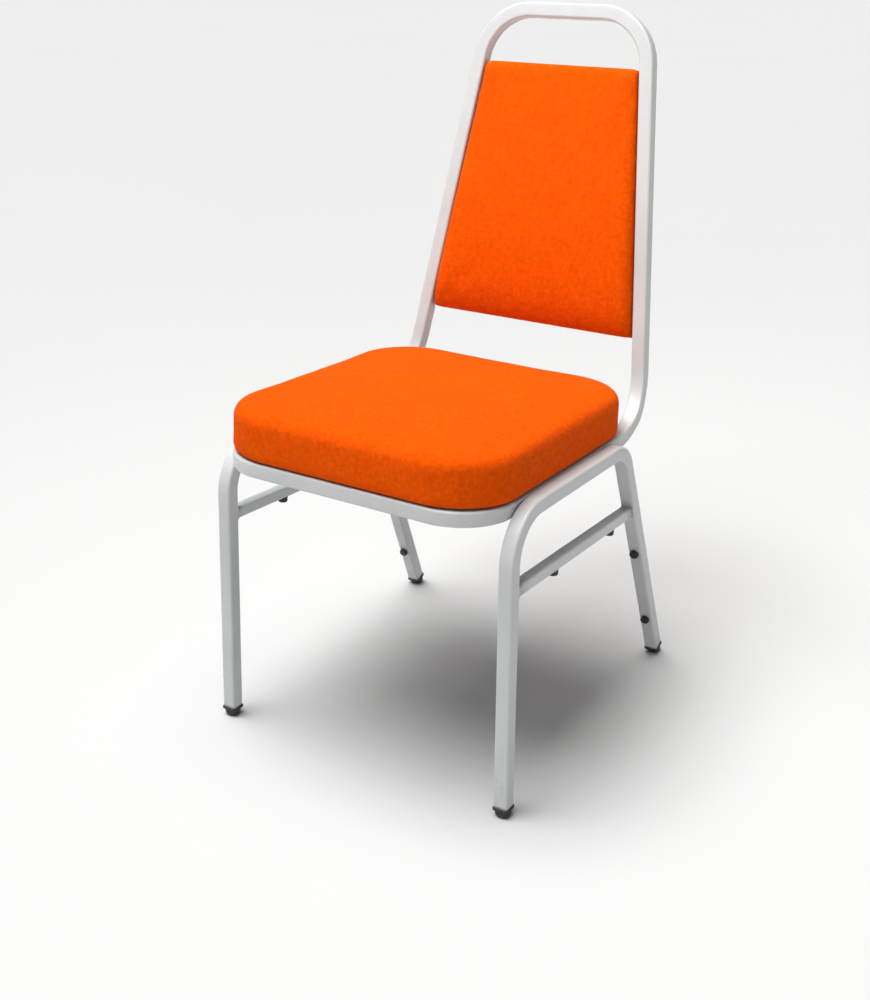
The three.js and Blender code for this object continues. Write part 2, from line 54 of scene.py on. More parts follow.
def make_camera():
    """The photograph's view: azimuth from the front, drop below the horizon, and a slight roll."""
    reach = cos(DROP)
    forward = Vector((-sin(AZIMUTH) * reach, cos(AZIMUTH) * reach, -sin(DROP)))
    across = Vector((cos(AZIMUTH), sin(AZIMUTH), 0))
    upright = across.cross(forward)
    right = across * cos(ROLL) + upright * sin(ROLL)
    up = upright * cos(ROLL) - across * sin(ROLL)
    camera = bpy.data.objects.new("camera", bpy.data.cameras.new("camera"))
    camera.data.sensor_width = 36
    camera.data.lens = LENS_MM
    turn = Matrix((right, up, -forward)).transposed().to_4x4()
    camera.matrix_world = Matrix.Translation(CAMERA_AT) @ turn
    bpy.context.collection.objects.link(camera)
    bpy.context.scene.camera = camera


make_camera()

# ---- shape of the frame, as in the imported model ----
GAP = 0.3 * MM
TUBE = 19 * MM
TUBE_CORNER = 3.0 * MM
BAR = 15 * MM
BAR_CORNER = 2.2 * MM
SEAT_FRONT_Y = -276.2 * MM
SEAT_TOP_Z = 398 * MM
SEAT_SLOPE = 0.0405
HOOP_HALF_WIDTH = 180.8 * MM
HOOP_TOP_HALF_WIDTH = 114.7 * MM
HOOP_SEAT_LENGTH = 425 * MM
HOOP_BACK_LENGTH = 513.4 * MM
HOOP_FRONT_RADIUS = 62.4 * MM
HOOP_TAPER_RADIUS = 150 * MM
HOOP_TOP_RADIUS = 71 * MM
HOOP_BEND_RADIUS = 87.3 * MM
BACK_RAKE = 10.45
LEG_TOP_X = 200.1 * MM
LEG_SPLAY = 0.0234
FRONT_FOOT_Y = -234.5 * MM
REAR_FOOT_Y = 239 * MM
LEG_FRONT_CORNER_Y = -229.6 * MM
LEG_REAR_CORNER_Y = 72 * MM
LEG_FRONT_RADIUS = 59.2 * MM
LEG_REAR_RADIUS = 45 * MM
FOOT_RIM_Z = 12.7 * MM
STRETCHER_FRONT_Z = 296.6 * MM
STRETCHER_SLOPE = 0.0652
STRETCHER_BUFFER_Y = (-117.2 * MM, 46.8 * MM)
LEG_BUFFER_Z = (203 * MM, 76 * MM)
CROSS_RAIL_V = 338 * MM
SEAT_LUG_V = (80 * MM, 300 * MM)
LUG_SCREW_INSET = 17 * MM

CUSHION_HALF_WIDTH = 194 * MM
CUSHION_FRONT_V = -11.5 * MM
CUSHION_REAR_V = 406 * MM
CUSHION_CORNER = 82 * MM
CUSHION_HEIGHT = 68 * MM
BOARD_INSET = 7 * MM
BOARD_TOP = 22.9 * MM
PAD_BOTTOM_V = 101 * MM
PAD_TOP_V = 446 * MM
PAD_BACK = -6.7 * MM
PAD_FRONT = 23 * MM
PAD_CLEARANCE = 1.5 * MM

SIDES = ((1, "right"), (-1, "left"))
SEAT_PITCH = -atan(SEAT_SLOPE)
BACK_PITCH = radians(90 - BACK_RAKE)  # the rake is in degrees from upright
BEND_HALF = HOOP_BEND_RADIUS * (BACK_PITCH - SEAT_PITCH) / 2
BEND_START = HOOP_SEAT_LENGTH - BEND_HALF
BEND_END = HOOP_SEAT_LENGTH + BEND_HALF
RAIL_Y = SEAT_FRONT_Y + TUBE / 2
RAIL_Z = SEAT_TOP_Z - TUBE / 2
RAIL_INSIDE_X = HOOP_HALF_WIDTH - TUBE / 2 - GAP


def on_sheet(v):
    """Height, depth and pitch of the flat sheet that runs along the seat and up the back."""
    pitch = min(max(SEAT_PITCH + (v - BEND_START) / HOOP_BEND_RADIUS, SEAT_PITCH), BACK_PITCH)
    flat, rise = min(v, BEND_START), max(v - BEND_END, 0)
    y = RAIL_Y + flat * cos(SEAT_PITCH) + rise * cos(BACK_PITCH)
    z = RAIL_Z + flat * sin(SEAT_PITCH) + rise * sin(BACK_PITCH)
    y += HOOP_BEND_RADIUS * (sin(pitch) - sin(SEAT_PITCH))
    z += HOOP_BEND_RADIUS * (cos(SEAT_PITCH) - cos(pitch))
    return y, z, pitch


def sheet_matrix(v, shift=0.0):
    """Puts a flat shape, laid out in X across and Y along the sheet, onto the sheet at v."""
    y, z, pitch = on_sheet(v)
    return Matrix.Translation((0, y, z)) @ Matrix.Rotation(pitch, 4, "X") @ Matrix.Translation((0, shift, 0))


SEAT = sheet_matrix(0)
BACK = sheet_matrix(BEND_END, HOOP_SEAT_LENGTH - BEND_END)


# ---- mesh helpers ----
def raised(z):
    return Matrix.Translation((0, 0, z))


def mesh_object(name, verts, faces, surface, matrix=None):
    """A smooth object of one material, with its normals outwards."""
    mesh = bpy.data.meshes.new(name)
    mesh.from_pydata([tuple(v) for v in verts], [], faces)
    if matrix is not None:
        mesh.transform(matrix)
    tidy = bmesh.new()
    tidy.from_mesh(mesh)
    bmesh.ops.recalc_face_normals(tidy, faces=tidy.faces)
    tidy.to_mesh(mesh)
    tidy.free()
    mesh.shade_smooth()
    mesh.materials.append(surface)
    made = bpy.data.objects.new(name, mesh)
    bpy.context.collection.objects.link(made)
    return made


def angles(steps, first=0.0):
    """Evenly spaced round a full turn."""
    return [2 * pi * (k + first) / steps for k in range(steps)]


def loft(rings, closed=False):
    """Quads between equal rings of points, with both ends capped unless the rings close on themselves."""
    count = len(rings[0])
    verts = [point for ring in rings for point in ring]
    faces = []
    for i in range(len(rings) if closed else len(rings) - 1):
        a, b = i * count, (i + 1) % len(rings) * count
        faces += [(a + k, a + (k + 1) % count, b + (k + 1) % count, b + k) for k in range(count)]
    if not closed:
        faces += [tuple(range(count)), tuple(range(len(verts) - count, len(verts)))]
    return verts, faces


def joined(parts):
    """Several (verts, faces) as one."""
    verts, faces = [], []
    for more_verts, more_faces in parts:
        start = len(verts)
        verts += list(more_verts)
        faces += [tuple(start + i for i in face) for face in more_faces]
    return verts, faces


def even_normals(piece):
    """Keeps wide flat faces flat where they meet a narrow rounded edge."""
    weigh = piece.modifiers.new("even_normals", "WEIGHTED_NORMAL")
    weigh.mode = "FACE_AREA"
    weigh.weight = 50
    return piece


def add(piece, material_slot, *nodes):
    """Makes the object part of the chair, in the place of any CAD nodes named."""
    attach(piece, "root")
    if nodes:
        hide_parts(*nodes)


# ---- materials ----
class Shader:
    """A Principled surface and short ways to add nodes to it."""

    def __init__(self, name, **sockets):
        self.material = bpy.data.materials.new(name)
        self.material.use_nodes = True
        self.tree = self.material.node_tree
        self.surface = self.tree.nodes["Principled BSDF"]
        for socket, value in sockets.items():
            self.surface.inputs[socket.replace("_", " ")].default_value = value

    def node(self, kind, inputs=None, **settings):
        made = self.tree.nodes.new(kind)
        for key, value in settings.items():
            setattr(made, key, value)
        for key, value in (inputs or {}).items():
            self.feed(made.inputs[key], value)
        return made

    def feed(self, socket, value):
        if isinstance(value, bpy.types.NodeSocket):
            self.tree.links.new(value, socket)
        else:
            socket.default_value = value

    def math(self, operation, a, b=0.0, c=0.0):
        made = self.node("ShaderNodeMath", {0: a, 1: b, 2: c}, operation=operation)
        return made.outputs[0]

    def noise(self, where, scale, detail=3.0, roughness=0.5, distortion=0.0):
        inputs = {"Vector": where, "Scale": scale, "Detail": detail, "Roughness": roughness,
                  "Distortion": distortion}
        return self.node("ShaderNodeTexNoise", inputs).outputs["Fac"]

    def scaled(self, where, x, y, z):
        made = self.node("ShaderNodeMapping", {"Vector": where, "Scale": (x, y, z)})
        return made.outputs["Vector"]

    def span(self, value, low, high, to_low=0.0, to_high=1.0):
        inputs = {"Value": value, "From Min": low, "From Max": high, "To Min": to_low, "To Max": to_high}
        return self.node("ShaderNodeMapRange", inputs).outputs["Result"]

    def blend(self, share, a, b):
        made = self.node("ShaderNodeMix", {0: share, 6: a, 7: b}, data_type="RGBA")
        return made.outputs[2]

    def colour(self, value):
        self.feed(self.surface.inputs["Base Color"], value)

    def bump(self, height, strength, distance):
        made = self.node("ShaderNodeBump", {"Height": height, "Strength": strength, "Distance": distance})
        self.feed(self.surface.inputs["Normal"], made.outputs["Normal"])

    def object_place(self):
        return self.node("ShaderNodeTexCoord").outputs["Object"]


def rgba(r, g, b):
    return (r, g, b, 1.0)


def epoxy_paint():
    """Light warm grey powder coat: orange-peel skin, faint dust and a few scuffs low on the legs."""
    s = Shader("epoxy_paint", Coat_Weight=0.12, Coat_Roughness=0.25, Specular_IOR_Level=0.45)
    place = s.object_place()
    height = s.node("ShaderNodeSeparateXYZ", {0: place}).outputs["Z"]
    cloud = s.noise(place, 9.0, 4.0, 0.6)
    tone = s.blend(s.span(cloud, 0.35, 0.7), rgba(0.500, 0.512, 0.510), rgba(0.558, 0.570, 0.568))
    scratch = s.noise(s.scaled(place, 1.0, 1.0, 0.22), 260.0, 2.0, 0.7, 0.4)
    low = s.span(height, 0.02, 0.34, 1.0, 0.15)
    scuff = s.math("MULTIPLY", s.span(scratch, 0.66, 0.74, 0.0, 0.55), low)
    s.colour(s.blend(scuff, tone, rgba(0.30, 0.29, 0.275)))
    s.feed(s.surface.inputs["Roughness"], s.span(cloud, 0.3, 0.75, 0.34, 0.48))
    peel = s.noise(place, 620.0, 2.0, 0.5)
    s.bump(peel, 0.16, 0.35 * MM)
    return s.material


THREAD_PITCH = 1.25 * MM


def woven_cover():
    """Plain-weave cloth. Its threads follow the layer that holds where each point lay on the flat cloth."""
    s = Shader("orange_weave", Roughness=0.9, Specular_IOR_Level=0.03,
               Sheen_Weight=0.03, Sheen_Roughness=0.5)
    s.surface.inputs["Sheen Tint"].default_value = rgba(1.0, 0.42, 0.10)
    lie = s.node("ShaderNodeUVMap", uv_map="cloth_lie").outputs["UV"]
    wander = s.noise(lie, 24.0, 1.0)
    place = s.object_place()
    flat = s.node("ShaderNodeSeparateXYZ", {0: lie})
    drift = s.math("MULTIPLY", wander, 0.9)
    u = s.math("ADD", s.math("MULTIPLY", flat.outputs["X"], 1 / THREAD_PITCH), drift)
    v = s.math("ADD", s.math("MULTIPLY", flat.outputs["Y"], 1 / THREAD_PITCH), drift)
    along = s.math("ABSOLUTE", s.math("SINE", s.math("MULTIPLY", u, pi)))
    across = s.math("ABSOLUTE", s.math("SINE", s.math("MULTIPLY", v, pi)))
    both = s.math("ADD", s.math("FLOOR", u), s.math("FLOOR", v))
    over = s.math("MULTIPLY", s.math("FRACT", s.math("MULTIPLY", both, 0.5)), 2.0)
    warp = s.math("MULTIPLY", along, s.math("MULTIPLY_ADD", across, 0.5, 0.5))
    weft = s.math("MULTIPLY", across, s.math("MULTIPLY_ADD", along, 0.5, 0.5))
    height = s.node("ShaderNodeMix", {0: over, 2: weft, 3: warp}, data_type="FLOAT").outputs[0]
    warp_tone = s.noise(s.scaled(lie, 760.0, 45.0, 1.0), 1.0, 2.0)
    weft_tone = s.noise(s.scaled(lie, 45.0, 760.0, 1.0), 1.0, 2.0)
    thread = s.node("ShaderNodeMix", {0: over, 2: weft_tone, 3: warp_tone}, data_type="FLOAT").outputs[0]
    mottle = s.noise(place, 170.0, 3.0, 0.6)
    cloud = s.noise(place, 16.0, 2.0)
    grain = s.math("ADD", s.math("MULTIPLY", thread, 0.5), s.math("MULTIPLY", mottle, 0.5))
    tone = s.blend(s.span(grain, 0.36, 0.64), rgba(0.61, 0.060, 0.0005), rgba(0.87, 0.101, 0.0010))
    tone = s.blend(s.span(cloud, 0.35, 0.7, 0.0, 0.16), tone, rgba(0.66, 0.062, 0.0010))
    # painted shade: the cloth is darkened down between the threads, where the weave's height is low
    tone = s.blend(s.span(height, 0.05, 0.55, 0.34, 0.0), tone, rgba(0.43, 0.035, 0.0005))
    s.colour(tone)
    s.bump(height, 0.55, 0.28 * MM)
    return s.material


def black_moulding():
    """Black plastic, a little dusty, with a fine spark-eroded grain."""
    s = Shader("black_moulding", Specular_IOR_Level=0.5)
    place = s.object_place()
    cloud = s.noise(place, 60.0, 3.0)
    fresh, dusty = rgba(0.008, 0.008, 0.009), rgba(0.022, 0.022, 0.022)
    s.colour(s.blend(s.span(cloud, 0.35, 0.7), fresh, dusty))
    s.feed(s.surface.inputs["Roughness"], s.span(cloud, 0.3, 0.7, 0.38, 0.58))
    s.bump(s.noise(place, 1500.0, 2.0), 0.12, 0.15 * MM)
    return s.material


def birch_ply():
    """Pale plywood with its grain along the depth of the seat."""
    s = Shader("birch_ply", Roughness=0.7, Specular_IOR_Level=0.3)
    place = s.object_place()
    grain = s.noise(s.scaled(place, 90.0, 6.0, 90.0), 1.0, 5.0, 0.6, 0.6)
    s.colour(s.blend(s.span(grain, 0.3, 0.7), rgba(0.42, 0.25, 0.11), rgba(0.66, 0.46, 0.24)))
    s.bump(grain, 0.2, 0.3 * MM)
    return s.material


def zinc():
    """Zinc plating with fine turning marks."""
    s = Shader("zinc_plate", Metallic=1.0)
    place = s.object_place()
    cloud = s.noise(place, 300.0, 4.0, 0.6)
    s.colour(s.blend(s.span(cloud, 0.3, 0.7), rgba(0.40, 0.41, 0.42), rgba(0.62, 0.63, 0.62)))
    s.feed(s.surface.inputs["Roughness"], s.span(cloud, 0.3, 0.7, 0.26, 0.46))
    s.bump(s.noise(s.scaled(place, 1.0, 1.0, 9.0), 900.0, 2.0), 0.1, 0.1 * MM)
    return s.material


def felt():
    """Black non-woven cloth with its pressed dot pattern."""
    s = Shader("black_felt", Roughness=0.94, Specular_IOR_Level=0.15, Sheen_Weight=0.2)
    place = s.object_place()
    fibre = s.noise(place, 900.0, 5.0, 0.7)
    pattern = {"Vector": place, "Scale": 420.0, "Randomness": 0.2}
    dots = s.node("ShaderNodeTexVoronoi", pattern).outputs["Distance"]
    dark, pale = rgba(0.006, 0.006, 0.007), rgba(0.030, 0.030, 0.032)
    s.colour(s.blend(s.span(fibre, 0.3, 0.7), dark, pale))
    s.bump(s.math("ADD", fibre, dots), 0.4, 0.3 * MM)
    return s.material


def studio_floor():
    """Plain matt floor, only just uneven in tone."""
    s = Shader("floor", Roughness=0.85, Specular_IOR_Level=0.1)
    cloud = s.noise(s.object_place(), 0.7, 2.0)
    s.colour(s.blend(cloud, rgba(0.595, 0.595, 0.592), rgba(0.610, 0.610, 0.607)))
    return s.material


PAINT, CLOTH, PLASTIC = epoxy_paint(), woven_cover(), black_moulding()
PLYWOOD, ZINC, FELT = birch_ply(), zinc(), felt()

LOOKS = {"frame_paint": PAINT, "seat_fabric": CLOTH, "black_plastic": PLASTIC, "plywood": PLYWOOD,
         "zinc_steel": ZINC, "dust_cloth": FELT}
for part in frame["record"]["subparts"]:
    node = frame["nodes"][part["node"]]
    node.data.materials.clear()
    node.data.materials.append(LOOKS[part["material_slot"]])


# ---- tubes ----
CORNER_STEPS = 5
FLAT_STEPS = 4
PATH_STEP = 5 * MM
ARC_STEP = 3 * MM
DENT = 1.1 * MM
DENTED_SHARE = 0.8


def tube_section(size, corner):
    """Rounded square, as (upward, outward) pairs."""
    points, reach = [], size / 2 - corner
    for quarter in range(4):
        turn = quarter * pi / 2
        centre = Matrix.Rotation(turn, 2) @ Vector((reach, reach))
        for k in range(CORNER_STEPS + 1):
            angle = turn + pi / 2 * k / CORNER_STEPS
            points.append(centre + corner * Vector((cos(angle), sin(angle))))
        start = points[-1]
        finish = Matrix.Rotation(turn + pi / 2, 2) @ Vector((reach + corner, reach))
        for k in range(1, FLAT_STEPS):
            points.append(start.lerp(finish, k / FLAT_STEPS))
    return points


def fillet_path(corners, radii):
    """Flat path through corners, with rounded bends, as (point, tangent, bend).
    The bend is 0 on a straight, and largest, to the left or right, in the middle of a turn."""
    corners = [Vector(c) for c in corners]
    path = [(corners[0], (corners[1] - corners[0]).normalized(), 0.0)]

    def straight_to(point):
        last, direction = path[-1][0], (point - path[-1][0]).normalized()
        steps = max(1, ceil((point - last).length / PATH_STEP))
        path.extend((last.lerp(point, k / steps), direction, 0.0) for k in range(1, steps + 1))

    for i, radius in enumerate(radii, start=1):
        before = (corners[i] - corners[i - 1]).normalized()
        after = (corners[i + 1] - corners[i]).normalized()
        turn = atan2(before.x * after.y - before.y * after.x, before.dot(after))
        start = corners[i] - before * radius * tan(abs(turn) / 2)
        side = copysign(1, turn)
        centre = start + Vector((-before.y, before.x)) * side * radius
        straight_to(start)
        steps = max(3, ceil(abs(turn) * radius / ARC_STEP))
        strength = min(1.0, abs(turn))
        for k in range(1, steps + 1):
            swing = Matrix.Rotation(turn * k / steps, 2)
            bend = side * strength * sin(pi * k / steps) ** 0.7
            path.append((centre + swing @ (start - centre), swing @ before, bend))
    straight_to(corners[-1])
    return path


def swept(section, stations, closed=False):
    """Carries the section along stations of (centre, upward, outward, lean, dent).
    A bent square tube sinks a little along the middle of its inner face."""
    half = max(p.x for p in section)
    rings = []
    for centre, upward, outward, lean, dent in stations:
        ring = []
        for point in section:
            inside = point.dot(lean)
            sideways = (point.x * lean.y - point.y * lean.x) / half
            sink = dent * max(0.0, 1 - (sideways / DENTED_SHARE) ** 2) if inside > 0.8 * half else 0.0
            placed = point - lean * sink
            ring.append(centre + upward * placed.x + outward * placed.y)
        rings.append(ring)
    return loft(rings, closed)


def hoop_stations():
    """The closed loop of the seat rail and the back, from the middle of the front rail round to it again."""
    top = HOOP_SEAT_LENGTH + HOOP_BACK_LENGTH
    w, t = HOOP_HALF_WIDTH, HOOP_TOP_HALF_WIDTH
    corners = [(0, 0), (w, 0), (w, HOOP_SEAT_LENGTH), (t, top),
               (-t, top), (-w, HOOP_SEAT_LENGTH), (-w, 0), (0, 0)]
    radii = [HOOP_FRONT_RADIUS, HOOP_TAPER_RADIUS, HOOP_TOP_RADIUS, HOOP_TOP_RADIUS, HOOP_TAPER_RADIUS,
             HOOP_FRONT_RADIUS]
    stations = []
    for point, tangent, bend in fillet_path(corners, radii)[:-1]:
        y, z, pitch = on_sheet(point.y)
        forward = Vector((0, cos(pitch), sin(pitch)))
        upward = Vector((0, -sin(pitch), cos(pitch)))
        outward = Vector((tangent.y, 0, 0)) - forward * tangent.x
        share = (point.y - BEND_START) / (BEND_END - BEND_START)
        lean, dent = Vector((0, -1)), DENT * abs(bend)
        if 0 < share < 1 and abs(tangent.y) > 0.9:
            lean, dent = Vector((1, 0)), 0.8 * DENT * sin(pi * share)
        stations.append((Vector((point.x, y, z)), upward, outward, lean, dent))
    return stations


def rail_height(y):
    """Height of the middle of the leg frame's top run."""
    return RAIL_Z - SEAT_SLOPE * (y - SEAT_FRONT_Y)


LEG_CORNERS = [Vector((FRONT_FOOT_Y, 0)), Vector((LEG_FRONT_CORNER_Y, rail_height(LEG_FRONT_CORNER_Y))),
               Vector((LEG_REAR_CORNER_Y, rail_height(LEG_REAR_CORNER_Y))), Vector((REAR_FOOT_Y, 0))]
FRONT_UP = (LEG_CORNERS[1] - LEG_CORNERS[0]).normalized()
REAR_UP = (LEG_CORNERS[2] - LEG_CORNERS[3]).normalized()
LEGS = {"front": (LEG_CORNERS[0], FRONT_UP), "rear": (LEG_CORNERS[3], REAR_UP)}


def on_leg(which, z):
    """Depth and height of the leg's middle line at height z, before the leg is splayed."""
    foot, up = LEGS[which]
    return foot + up * (z / up.y)


def leg_matrix(side):
    """Carries a shape drawn in the upright plane X = 0 out to the splayed leg of one side."""
    lean = Matrix.Rotation(-side * atan(LEG_SPLAY), 4, "Y")
    top = Matrix.Translation((side * LEG_TOP_X, 0, SEAT_TOP_Z))
    return top @ lean @ raised(-SEAT_TOP_Z)


def on_leg_plane(side, place, tilt):
    """Carries a shape to a place on the legs of one side, tilted about X."""
    return leg_matrix(side) @ Matrix.Translation((0, place.x, place.y)) @ Matrix.Rotation(tilt, 4, "X")


def leg_frame():
    """Front leg, top run and rear leg in one bent tube."""
    corners = [on_leg("front", FOOT_RIM_Z), LEG_CORNERS[1], LEG_CORNERS[2], on_leg("rear", FOOT_RIM_Z)]
    stations = []
    for point, tangent, bend in fillet_path(corners, [LEG_FRONT_RADIUS, LEG_REAR_RADIUS]):
        centre = Vector((0, point.x, point.y))
        upward = Vector((0, -tangent.y, tangent.x))
        stations.append((centre, upward, Vector((1, 0, 0)), Vector((-1, 0)), DENT * 1.2 * abs(bend)))
    return swept(tube_section(TUBE, TUBE_CORNER), stations)


def on_stretcher(y):
    """Depth and height of the stretcher's middle line."""
    return Vector((y, STRETCHER_FRONT_Z - STRETCHER_SLOPE * (y - LEG_FRONT_CORNER_Y)))


def stretcher_end(which, towards, gap=GAP):
    """Middle of the stretcher's end face, which is cut along the leg, and the direction up that face."""
    foot, up = LEGS[which]
    near = on_stretcher(foot.x + up.x / up.y * STRETCHER_FRONT_Z)
    centre = on_stretcher(on_leg(which, near.y).x + towards * (TUBE / 2 + gap) / up.y)
    direction = Vector((1, -STRETCHER_SLOPE)).normalized()
    stretch = 1 / abs(direction.x * up.y - direction.y * up.x)
    return Vector((0, centre.x, centre.y)), Vector((0, up.x, up.y)) * stretch


def stretcher():
    (a, up_a), (b, up_b) = stretcher_end("front", 1), stretcher_end("rear", -1)
    section, steps = tube_section(BAR, BAR_CORNER), 12
    rings = []
    for k in range(steps + 1):
        centre, upward = a.lerp(b, k / steps), up_a.lerp(up_b, k / steps)
        rings.append([centre + upward * p.x + Vector((p.y, 0, 0)) for p in section])
    return loft(rings)


def bead(path, radius, closed=True, ripple=0.16, sides=8):
    """A weld bead: a rippled roll along the points of path, thinner towards open ends."""
    rings, count = [], len(path)
    for i, point in enumerate(path):
        before = path[i - 1] if closed or i else path[i]
        after = path[(i + 1) % count] if closed or i < count - 1 else path[i]
        forward = (after - before).normalized()
        side = forward.orthogonal() if abs(forward.x) > 0.9 else forward.cross(Vector((1, 0, 0))).normalized()
        up = side.cross(forward).normalized()
        side = forward.cross(up).normalized()
        swell = radius * (1 + ripple * sin(i * 2.1) + ripple / 2 * sin(i * 0.83))
        if not closed:
            swell *= 0.35 + 0.65 * min(1.0, i / 4, (count - 1 - i) / 4)
        rings.append([point + swell * (side * cos(a) + up * sin(a)) for a in angles(sides)])
    return loft(rings, closed)


def round_square(size, corner, steps):
    """Evenly spaced points round a rounded square."""
    reach, points = size / 2 - corner, []
    for angle in angles(steps, 0.5):
        x, y = cos(angle), sin(angle)
        stretch = (size / 2) / max(abs(x), abs(y))
        px, py = x * stretch, y * stretch
        core = Vector((max(-reach, min(reach, px)), max(-reach, min(reach, py))))
        away = Vector((px, py)) - core
        points.append(core + away.normalized() * corner if away.length > 1e-9 else Vector((px, py)))
    return points


# Sizes of the weld beads.
STRETCHER_BEAD = 1.3 * MM
RAIL_BEAD = 1.75 * MM
CROSS_RAIL_BEAD = 1.5 * MM
LUG_BEAD = 1.2 * MM
# Height on the tube, and the stretches along the sheet in millimetres.
UPPER_WELD = (TUBE / 2 - 1.5 * MM, ((66, 296),))
LOWER_WELD = (-TUBE / 2 + 1.3 * MM, ((78, 120), (236, 280)))
WELD_STEP_MM = 2.2
LUG_WELD_LENGTH = 24 * MM
LUG_WELD_STEPS = 14


def stretcher_welds():
    parts = []
    for which, towards in (("front", 1), ("rear", -1)):
        centre, upward = stretcher_end(which, towards, GAP + 0.3 * MM)
        outline = round_square(BAR + 0.6 * MM, 1.8 * MM, 52)
        path = [centre + upward * p.x + Vector((p.y, 0, 0)) for p in outline]
        parts.append(bead(path, STRETCHER_BEAD))
    return joined(parts)


def rail_welds(side):
    """The long fillets between the seat rail and the top of the leg frame, above and below."""
    parts = []
    x = side * (HOOP_HALF_WIDTH + TUBE / 2 + GAP / 2)
    for height, spans in (UPPER_WELD, LOWER_WELD):
        for start, finish in spans:
            count = max(8, round((finish - start) / WELD_STEP_MM))
            path = []
            for k in range(count + 1):
                y, z, pitch = on_sheet((start + (finish - start) * k / count) * MM)
                path.append(Vector((x, y - height * sin(pitch), z + height * cos(pitch))))
            parts.append(bead(path, RAIL_BEAD, closed=False, ripple=0.07))
    return joined(parts)


def cross_rail():
    section, steps = tube_section(TUBE, TUBE_CORNER), 10
    rings = []
    for k in range(steps + 1):
        x = -RAIL_INSIDE_X + 2 * RAIL_INSIDE_X * k / steps
        rings.append([Vector((x, CROSS_RAIL_V + p.x, p.y)) for p in section])
    return loft(rings)


def cross_rail_welds():
    parts = []
    for side, _ in SIDES:
        x = side * (RAIL_INSIDE_X - 0.3 * MM)
        path = [Vector((x, CROSS_RAIL_V + p.x, p.y)) for p in round_square(TUBE + 0.4 * MM, 3 * MM, 60)]
        parts.append(bead(path, CROSS_RAIL_BEAD))
    return joined(parts)


def lug_welds(side):
    parts = []
    x, z = side * (RAIL_INSIDE_X - 0.2 * MM), TUBE / 2 - 3.6 * MM
    for v in SEAT_LUG_V:
        start = v - LUG_WELD_LENGTH / 2
        path = [Vector((x, start + LUG_WELD_LENGTH * k / LUG_WELD_STEPS, z))
                for k in range(LUG_WELD_STEPS + 1)]
        parts.append(bead(path, LUG_BEAD, closed=False))
    return joined(parts)


hoop = mesh_object("hoop", *swept(tube_section(TUBE, TUBE_CORNER), hoop_stations(), closed=True), PAINT)
add(even_normals(hoop), "frame_paint", "hoop_frame")
rail = mesh_object("cross_rail", *cross_rail(), PAINT, SEAT)
add(even_normals(rail), "frame_paint", "rear_cross_rail")
add(mesh_object("cross_rail_welds", *cross_rail_welds(), PAINT, SEAT), "frame_paint")
for side, name in SIDES:
    legs = mesh_object(f"leg_tube_{name}", *leg_frame(), PAINT, leg_matrix(side))
    add(even_normals(legs), "frame_paint", f"leg_frame_{name}")
    bar = mesh_object(f"stretcher_bar_{name}", *stretcher(), PAINT, leg_matrix(side))
    add(even_normals(bar), "frame_paint", f"stretcher_{name}")
    add(mesh_object(f"stretcher_welds_{name}", *stretcher_welds(), PAINT, leg_matrix(side)), "frame_paint")
    add(mesh_object(f"rail_welds_{name}", *rail_welds(side), PAINT), "frame_paint")
    add(mesh_object(f"lug_welds_{name}", *lug_welds(side), PAINT, SEAT), "frame_paint")


# ---- push-in plastic ----
def turned(profile, steps=40):
    """A turned piece round Z from (radius, height) pairs, the first and last on the axis."""
    return loft([[Vector((r * cos(a), r * sin(a), z)) for a in angles(steps)] for r, z in profile])


def rounded_profile(points, radius, steps=4):
    """Rounds every inner corner of a profile of (radius, height) pairs."""
    points = [Vector(p) for p in points]
    out = [points[0]]
    for before, corner, after in zip(points, points[1:], points[2:]):
        near = min(radius, (before - corner).length * 0.45, (after - corner).length * 0.45)
        a = corner + (before - corner).normalized() * near
        b = corner + (after - corner).normalized() * near
        for k in range(steps + 1):
            t = k / steps
            out.append(a * (1 - t) ** 2 + corner * 2 * t * (1 - t) + b * t * t)
    return [tuple(p) for p in out + [points[-1]]]


def buffer(height):
    """Flat-topped button with a rounded rim, a shallow gate mark and a stem that is pushed into the tube."""
    outline = [(0.05 * MM, -height + 0.5 * MM), (1.3 * MM, -height + 0.5 * MM), (1.5 * MM, -height),
               (5.3 * MM, -height), (6.35 * MM, -height + 1.2 * MM), (6.5 * MM, -GAP - 0.6 * MM),
               (5.9 * MM, -GAP), (2.6 * MM, -GAP), (2.6 * MM, 1.2 * MM), (0.05 * MM, 1.2 * MM)]
    return turned(rounded_profile(outline, 0.7 * MM))


def foot_ring(matrix, half, squareness, steps=64):
    """Points round a shape between a circle (squareness 2) and a square."""
    ring = []
    for angle in angles(steps, 0.5):
        c, s = cos(angle), sin(angle)
        r = half / (abs(c) ** squareness + abs(s) ** squareness) ** (1 / squareness)
        ring.append(matrix @ Vector((r * c, r * s, 0)))
    return ring


# Profile of a glide in millimetres, from the top down. The collar and neck are (distance below the tube end,
# half width, squareness), where 2 is round and 7 nearly square. The dome is (height above the floor, radius).
FOOT_COLLAR = ((0.3, 9.0, 7.0), (0.3, 10.1, 7.0), (0.5, 10.5, 7.0), (0.9, 10.7, 7.0), (2.7, 10.7, 7.0),
               (3.15, 10.5, 7.0), (3.4, 10.1, 7.0), (3.5, 9.4, 5.0), (3.7, 8.9, 3.2))
FOOT_NECK = (4.3, 9.3, 2.2)
FOOT_SHOULDER = (6.2, 10.0)
FOOT_DOME = ((5.0, 10.2), (3.4, 10.0), (2.2, 9.6), (1.2, 8.95),
             (0.5, 8.2), (0.12, 7.5), (0.0, 6.9), (0.0, 3.0))
FOOT_MIDDLE_Z = 4 * MM


